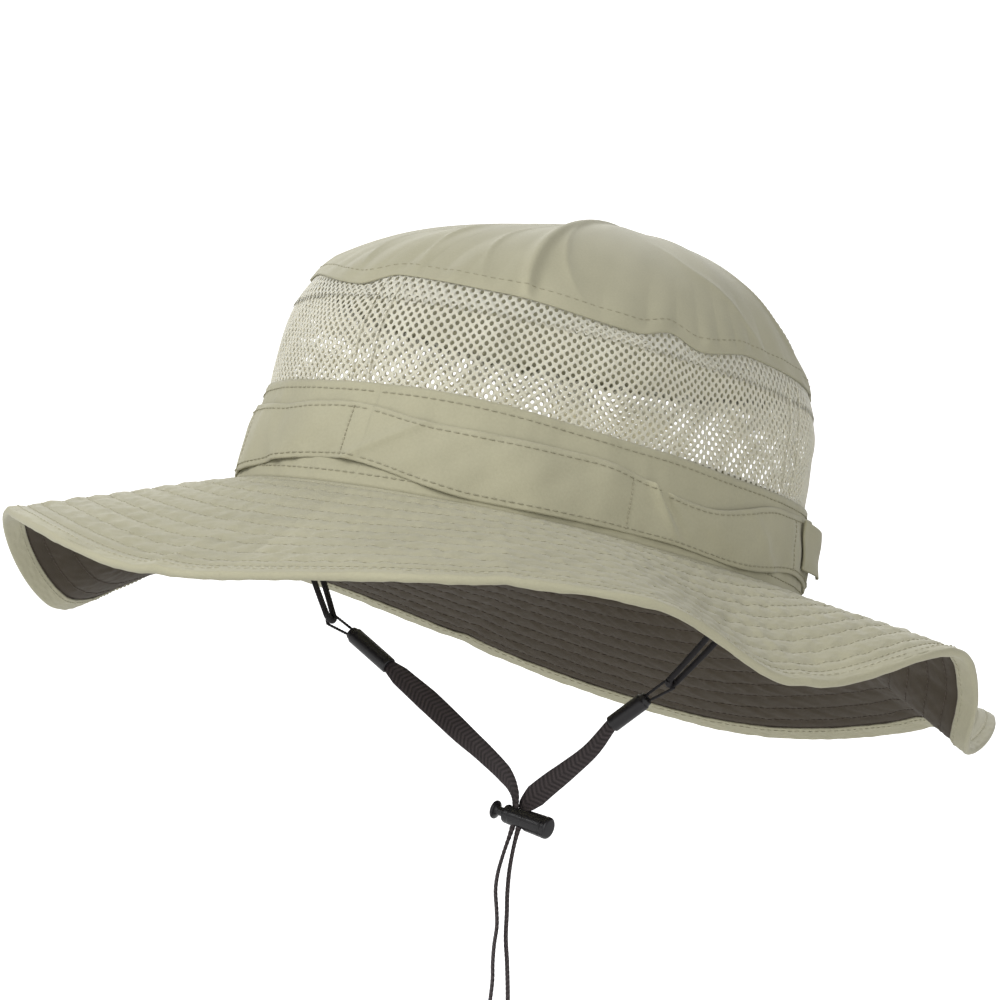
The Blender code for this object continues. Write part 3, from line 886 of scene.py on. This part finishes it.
def mesh_sheet(name, start, stop, low, high, out, relief, thick=0.42):
    """Knitted mesh between two edges: diamond cells, each with an oval hole, laid on the crown."""
    around = round(HEAD_ROUND * 0.96 / MESH_PITCH)
    pitch_u = 1.0 / around
    count_v = max(2, round((MESH_TOP - low) / MESH_ROW))
    first = np.interp(np.radians(start) % TAU, EVEN_ANGLE, EVEN_SHARE) + math.floor(start / 360)
    last = np.interp(np.radians(stop) % TAU, EVEN_ANGLE, EVEN_SHARE) + math.floor(stop / 360)
    column = np.arange(math.ceil(first / pitch_u), math.ceil(last / pitch_u))
    row = np.arange(count_v)
    rows, columns = np.meshgrid(row, column, indexing="ij")
    centre = np.stack([columns + 0.5 * (rows % 2), rows + 0.5], -1).reshape(-1, 2)
    turn = TAU * np.arange(12) / 12
    side = np.arange(12) / 3
    reach_u = np.abs((side + 2) % 4 - 2) - 1
    reach_v = np.abs((side + 1) % 4 - 2) - 1
    edge = np.stack([-reach_u * 0.5, -reach_v], -1)
    hole = np.stack([HOLE[0] / MESH_PITCH * np.cos(turn), HOLE[1] / MESH_ROW * np.sin(turn)], -1)
    lip = 0.45 * edge + 0.55 * hole
    rings = np.stack([edge, lip, hole], 0)
    verts = centre[:, None, None, :] + rings[None]
    cell = np.arange(len(centre))[:, None] * 36
    faces = []
    for level in (0, 1):
        k = np.arange(12)
        nxt = (k + 1) % 12
        base = level * 12
        quad = np.stack([base + k, base + nxt, base + 12 + nxt, base + 12 + k], -1)
        faces.append((cell[..., None] + quad[None]).reshape(-1, 4))
    faces = np.concatenate(faces)
    flat_points = verts.reshape(-1, 2)
    kind = np.tile(np.repeat([0, 1, 2], 12), len(centre))
    keys = np.round(flat_points * 60).astype(np.int64)
    _, keep, back_to = np.unique(keys, axis=0, return_index=True, return_inverse=True)
    back_to = back_to.ravel()
    points = flat_points[keep]
    kinds = kind[keep]
    faces = back_to[faces]
    share = points[:, 0] * pitch_u
    angle = even_angle(share)
    height = low + points[:, 1] / count_v * (high(np.degrees(angle)) - low)
    lift = relief(angle, height)
    round_off = np.where(kinds == 2, 0.12, 0.0)
    outer = crown(angle, height, out + lift - round_off)
    inner = crown(angle, height, out + lift - thick + round_off)
    total = len(points)
    wall_rings = back_to[(np.arange(len(centre))[:, None] * 36 + 24 + np.arange(12)[None])]
    nxt = np.roll(wall_rings, -1, axis=1)
    walls = np.stack([wall_rings, nxt, nxt + total, wall_rings + total], -1).reshape(-1, 4)
    everything = np.concatenate([faces, faces[:, ::-1] + total, walls])
    thing = mesh_object(name, np.concatenate([outer, inner]), everything)
    flat_mm = np.stack([share * HEAD_ROUND, height, 0 * height], -1)
    cloth_coordinates(thing, np.concatenate([flat_mm, flat_mm]))
    return thing


def mesh_relief(angle, height):
    """Soft folds of the mesh, strongest in the middle of its height."""
    middle = np.sin(np.clip((height - WALL_TOP) / (MESH_TOP - WALL_TOP), 0, 1) * math.pi)
    degrees = (np.degrees(angle) + 180) % 360 - 180
    fold = 1.6 * np.exp(-((degrees - (40 - 0.35 * height)) / 3.2) ** 2)
    return middle * (0.9 * ripple(angle, height, 46, 11) + 0.35 * ripple(angle, height, 17, 12) + fold)


def hem_relief(angle, height):
    return mesh_relief(angle, height) + 0.1 * ripple(angle, height, 9, 14)


def under_tip(degrees):
    """Height where the mesh ends, just inside the edge of the tip."""
    return ring_value(TIP_EDGE, degrees) + 1.0


def build_mesh():
    stops = MESH_SEAMS[1:] + (MESH_SEAMS[0] + 360,)
    for name, start, stop in zip(MESH_NAMES, MESH_SEAMS, stops):
        panel = mesh_sheet("knit_" + name, start, stop, WALL_TOP - 2.5, under_tip, -0.35, mesh_relief)
        finish_piece(panel, MESH_LOOK, "hat", "mesh", "mesh_" + name)
    hem = mesh_sheet("knit_top_hem", -6, 354, HEM_LOW, under_tip, 0.12, hem_relief, 0.3)
    finish_piece(hem, MESH_LOOK, "hat", "mesh", "mesh_top_hem")
    for place, name in zip(MESH_SEAMS, ("front", "left", "back", "right")):
        height = np.linspace(WALL_TOP + 0.5, MESH_TOP - 1, 90)
        rows = []
        for shift in (-2.3, 2.3):
            bend = place + shift + 0.6 * np.sin(height / 9)
            points, normals = crown_line(bend, height, 0.25 + mesh_relief(np.radians(bend), height))
            rows.append((points, normals))
        seam = stitches("mesh_seam_" + name, rows, pitch=1.7, length=1.6, width=0.55, lift=0.05)
        finish_piece(seam, MESH_THREAD_LOOK, "hat", "mesh", "mesh_seam_tape_" + name)


def wall_cloth(name, low, high, out, thick, relief, rows, node, look=None, columns=720):
    """Cloth band round the crown between two edges that may wander."""
    share = np.linspace(0, 1, columns, endpoint=False)
    angle = even_angle(share)[None, :]
    part = np.linspace(0, 1, rows)[:, None]
    height = low(angle) * (1 - part) + high(angle) * part
    lift = out(angle, part) + relief(angle, part)
    front = crown(angle, height, lift)
    back = crown(angle, height, lift - thick)
    flat_mm = np.stack([np.broadcast_to(share * HEAD_ROUND, height.shape), height, 0 * height], -1)
    band = shell(name, front, back, flat_mm, wrap=True)
    finish_piece(band, look or CLOTH_LOOK, "hat", "cloth", *node)
    return front


def band_out(angle, part):
    """The loop band stands off the crown between its tacks."""
    degrees = np.degrees(angle) % 360
    tacks = np.sort(np.array(BAND_TACKS) % 360)
    step = np.searchsorted(tacks, degrees) % len(tacks)
    before = tacks[step - 1]
    span = (tacks[step] - before) % 360
    across = ((degrees - before) % 360) / span
    bulge = np.sin(np.clip(across, 0, 1) * math.pi) ** 0.55
    return 1.15 + bulge * (0.5 + 0.9 * np.sin(part * math.pi) ** 0.8) + 0 * part


def base_relief(angle, part):
    """Slight waves of the band at the foot of the crown, and puckers by its lower seam."""
    waves = 0.28 * ripple(angle, part * 30, 26, 31) + 0.12 * ripple(angle, part * 30, 8, 32)
    return waves * part + 0.3 * ripple(angle, part * 10, 7, 33) * np.clip(part * 8, 0, 1) * (1 - part) ** 3


def band_relief(angle, part):
    degrees = (np.degrees(angle) + 180) % 360 - 180
    fold = degrees - 58.3 - 7 * (1 - part)
    tuck = 2.6 * np.exp(-(fold / 1.0) ** 2) * part - 2.2 * np.exp(-((fold - 2.4) / 1.2) ** 2) * part
    crease = 0.7 * np.exp(-((degrees - 12 + 16 * (1 - part)) / 1.5) ** 2)
    crease += 0.6 * np.exp(-((degrees - 93 + 10 * part) / 1.8) ** 2)
    crease += 0.5 * np.exp(-((degrees + 24 + 8 * part) / 2.2) ** 2)
    soft = 0.5 * ripple(angle, part * 20, 34, 21) + 0.22 * ripple(angle, part * 20, 12, 22)
    return tuck + crease + soft


def edge_rows(front, picks):
    lines = []
    for row in picks:
        points = np.concatenate([front[row], front[row][:1]])
        angle = np.arctan2(points[:, 0] / HEAD_X, -points[:, 1] / HEAD_Y)
        lines.append((points, outward(angle)))
    return lines


def build_bands():
    base = wall_cloth("base_band_cloth", lambda a: -0.6 + 0 * a,
                      lambda a: ring_value(BASE_TOP, np.degrees(a)), lambda a, part: 0.45 + 0 * a * part,
                      0.9, base_relief, 26, ("crown_base_band",))
    sew("base_band_stitch", edge_rows(base, (3, 23)), pitch=2.7, length=2.0)
    band = wall_cloth("loop_band_cloth", lambda a: ring_value(BAND_BOTTOM, np.degrees(a)),
                      lambda a: ring_value(BAND_TOP, np.degrees(a)), band_out, 0.7, band_relief, 36,
                      ("hatband",))
    sew("loop_band_stitch", edge_rows(band, (3, 32)), pitch=2.7, length=2.0)
    rows = []
    for place in BAND_TACKS:
        part = np.linspace(0.04, 0.96, 40)
        angle = np.radians(place) + 0 * part
        low = ring_value(BAND_BOTTOM, np.degrees(angle))
        high = ring_value(BAND_TOP, np.degrees(angle))
        lift = band_out(angle, part) + band_relief(angle, part)
        points = crown(angle, low * (1 - part) + high * part, lift)
        rows.append((points, outward(angle)))
    sew("loop_band_tacks", rows, pitch=1.5, length=1.3, width=0.5)
    inner = wall_cloth("sweatband_cloth", lambda a: -1.2 + 0 * a, lambda a: 29.0 + 0 * a,
                       lambda a, p: -1.2 + 0 * a * p, 1.0,
                       lambda a, p: 0.25 * ripple(a, p * 30, 30, 41), 14, ("sweatband",), columns=480)
    sew("sweatband_stitch", [(p - n * 1.15, -n) for p, n in edge_rows(inner, (2, 12))])
    build_band_end()


def build_band_end():
    """Short turned-back end of the loop band, standing proud on the wearer's left."""
    part = np.linspace(0, 1, 30)[:, None]
    turn = np.linspace(0, 1, 34)[None, :]
    degrees = 109 + 13 * turn
    angle = np.radians(degrees) + 0 * part
    height = 9.0 + 15.5 * part - 1.6 * turn * part
    out = 2.6 + 3.0 * np.sin(turn * math.pi * 0.6) ** 1.3 + 0.3 * np.sin(part * math.pi * 2 + turn * 3)
    front = crown(angle, height, out)
    back = crown(angle, height, out - 0.75)
    flat_mm = np.stack([turn * 25 + 0 * part, height, 0 * height], -1)
    fold = shell("loop_band_end", front, back, flat_mm)
    finish_piece(fold, CLOTH_LOOK, "hat", "cloth", "hatband_end_fold")


# ---------------------------------------------------------------- brim

def quilt_places():
    return [2.2] + [QUILT_STEP * (k + 1) for k in range(QUILT_ROWS)] + [BRIM_WIDTH - 5.6]


def brim_relief(angle, along, seed):
    """Stitched channels and the puckers the stitching pulls up beside them."""
    rows = np.array([0.0] + quilt_places())
    gap = np.min(np.abs(along[..., None] - rows), axis=-1)
    channel = -0.62 * np.exp(-(gap / 1.25) ** 1.4)
    pucker = 0.22 * ripple(angle, along * 0.8, 6.5, seed) + 0.13 * ripple(angle, along * 1.2, 3.4, seed + 1)
    return channel + pucker * np.clip(along / 6, 0, 1) * np.clip((BRIM_WIDTH - 6 - along) / 4, 0, 1)


def brim_bend(angle, along):
    """Bends shared by all the brim's layers: soft waves and radial creases."""
    degrees = (np.degrees(angle) + 180) % 360 - 180
    total = 0.5 * ripple(angle, along, 60, 53) * np.clip(along / 20, 0, 1)
    for place, height in BRIM_CREASES:
        away = (degrees - place + 180) % 360 - 180
        reach = np.clip((along - 8) / 50, 0, 1)
        total = total + height * reach * np.exp(-np.abs(away / 2.0) ** 1.4)
    return total


def brim_grid(columns, alongs):
    share = np.linspace(0, 1, columns, endpoint=False)
    angle = even_angle(share)[None, :] + 0 * alongs[:, None]
    along = alongs[:, None] + 0 * angle
    flat_mm = np.stack([share[None, :] * (HEAD_ROUND + TAU * along), along, 0 * along], -1)
    return angle, along, flat_mm


def build_brim():
    alongs = np.linspace(-0.8, BRIM_WIDTH - 0.4, 122)
    angle, along, flat_mm = brim_grid(900, alongs)
    bend = brim_bend(angle, along)
    up = 0.3 + bend + brim_relief(angle, along, 51)
    top = brim(angle, along, up)
    cloth = shell("brim_cloth", top, brim(angle, along, -0.62 + bend), flat_mm, wrap=True)
    finish_piece(cloth, CLOTH_LOOK, "hat", "cloth", "brim_top_cloth", "brim_stiffener")
    bottom = brim(angle, along, LINING_UP + bend - 0.6 * brim_relief(angle, along, 55))
    lining = shell("brim_lining", brim(angle, along, LINING_UP + 0.6 + bend), bottom, flat_mm, wrap=True)
    finish_piece(lining, LINING_LOOK, "hat", "dark_cloth", "brim_under_cloth")
    stitch_brim(alongs, top, bottom)
    build_binding()


def surface_row(grid, row, sign):
    """Line of points along one row of a brim face, with that face's own normals."""
    points = np.concatenate([grid[row], grid[row][:1]])
    ahead = np.concatenate([grid[row + 1], grid[row + 1][:1]])
    way = np.roll(points[:-1], -1, axis=0) - points[:-1]
    way = np.concatenate([way, way[:1]])
    return points, unit(np.cross(way, ahead - points)) * -sign


def stitch_brim(alongs, top, bottom):
    rows = [int(np.argmin(np.abs(alongs - place))) for place in quilt_places()]
    half = len(rows) // 2
    for part, picks in (("inner", rows[:half]), ("outer", rows[half:])):
        lines = [surface_row(top, row, 1) for row in picks]
        sew("brim_stitch_" + part, lines, BRIM_THREAD_LOOK, **QUILTING)
        lines = [surface_row(bottom, row, -1) for row in picks]
        sew("lining_stitch_" + part, lines, LINING_THREAD_LOOK, "dark_cloth", **QUILTING)


def build_binding():
    """Folded tape round the brim's edge, a little puckered by its stitching."""
    centre, half = (BINDING_TOP + BINDING_LOW) / 2, (BINDING_TOP - BINDING_LOW) / 2
    outline = []
    for share in np.linspace(0, 1, 10):
        outline.append((BRIM_WIDTH - 3.5 + share * 3.6, BINDING_TOP - 0.2 * (1 - share) ** 4))
    for turn in np.linspace(0, 1, 11)[1:-1]:
        swing = math.pi * turn
        outline.append((BRIM_WIDTH + 0.1 + 1.0 * math.sin(swing), centre + half * math.cos(swing)))
    for share in np.linspace(0, 1, 14):
        outline.append((BRIM_WIDTH + 0.1 - share * 5.7, BINDING_LOW + 0.2 * share ** 4))
    outline = np.array(outline)
    columns = 1400
    share = np.linspace(0, 1, columns, endpoint=False)
    angle = even_angle(share)[None, :]
    along, up = outline[:, :1] + 0 * angle, outline[:, 1:] + 0 * angle
    bend = brim_bend(angle, along)
    pucker = 0.1 * ripple(angle, along * 2.5, 4.5, 61) + 0.15 * ripple(angle, along, 16, 62)
    side = np.clip((up - centre) / (half * 0.9), -1, 1)
    front = brim(angle, along, up + bend + pucker * side)
    back = brim(angle, along - 0.4 * (1 - np.abs(side)), up + bend + pucker * side - 0.4 * side)
    rows = np.cumsum(np.ones_like(along), 0)
    flat_mm = np.stack([share[None, :] * 950 + 0 * along, rows * 0.6, 0 * along], -1)
    binding = shell("binding_tape", front, back, flat_mm, wrap=True)
    finish_piece(binding, BINDING_LOOK, "hat", "cloth", "brim_binding")
    lines = [surface_row(front, row, 1) for row in (2, len(outline) - 4)]
    sew("binding_stitch", lines, BRIM_THREAD_LOOK, pitch=2.8, length=2.0, width=0.38, lift=0.06)


set_stage()
around = math.radians(CAMERA_AROUND)
build_strap(np.array([math.sin(around), -math.cos(around), 0.0]))
build_mesh()
tip_seam(build_tip())
build_bands()
build_brim()
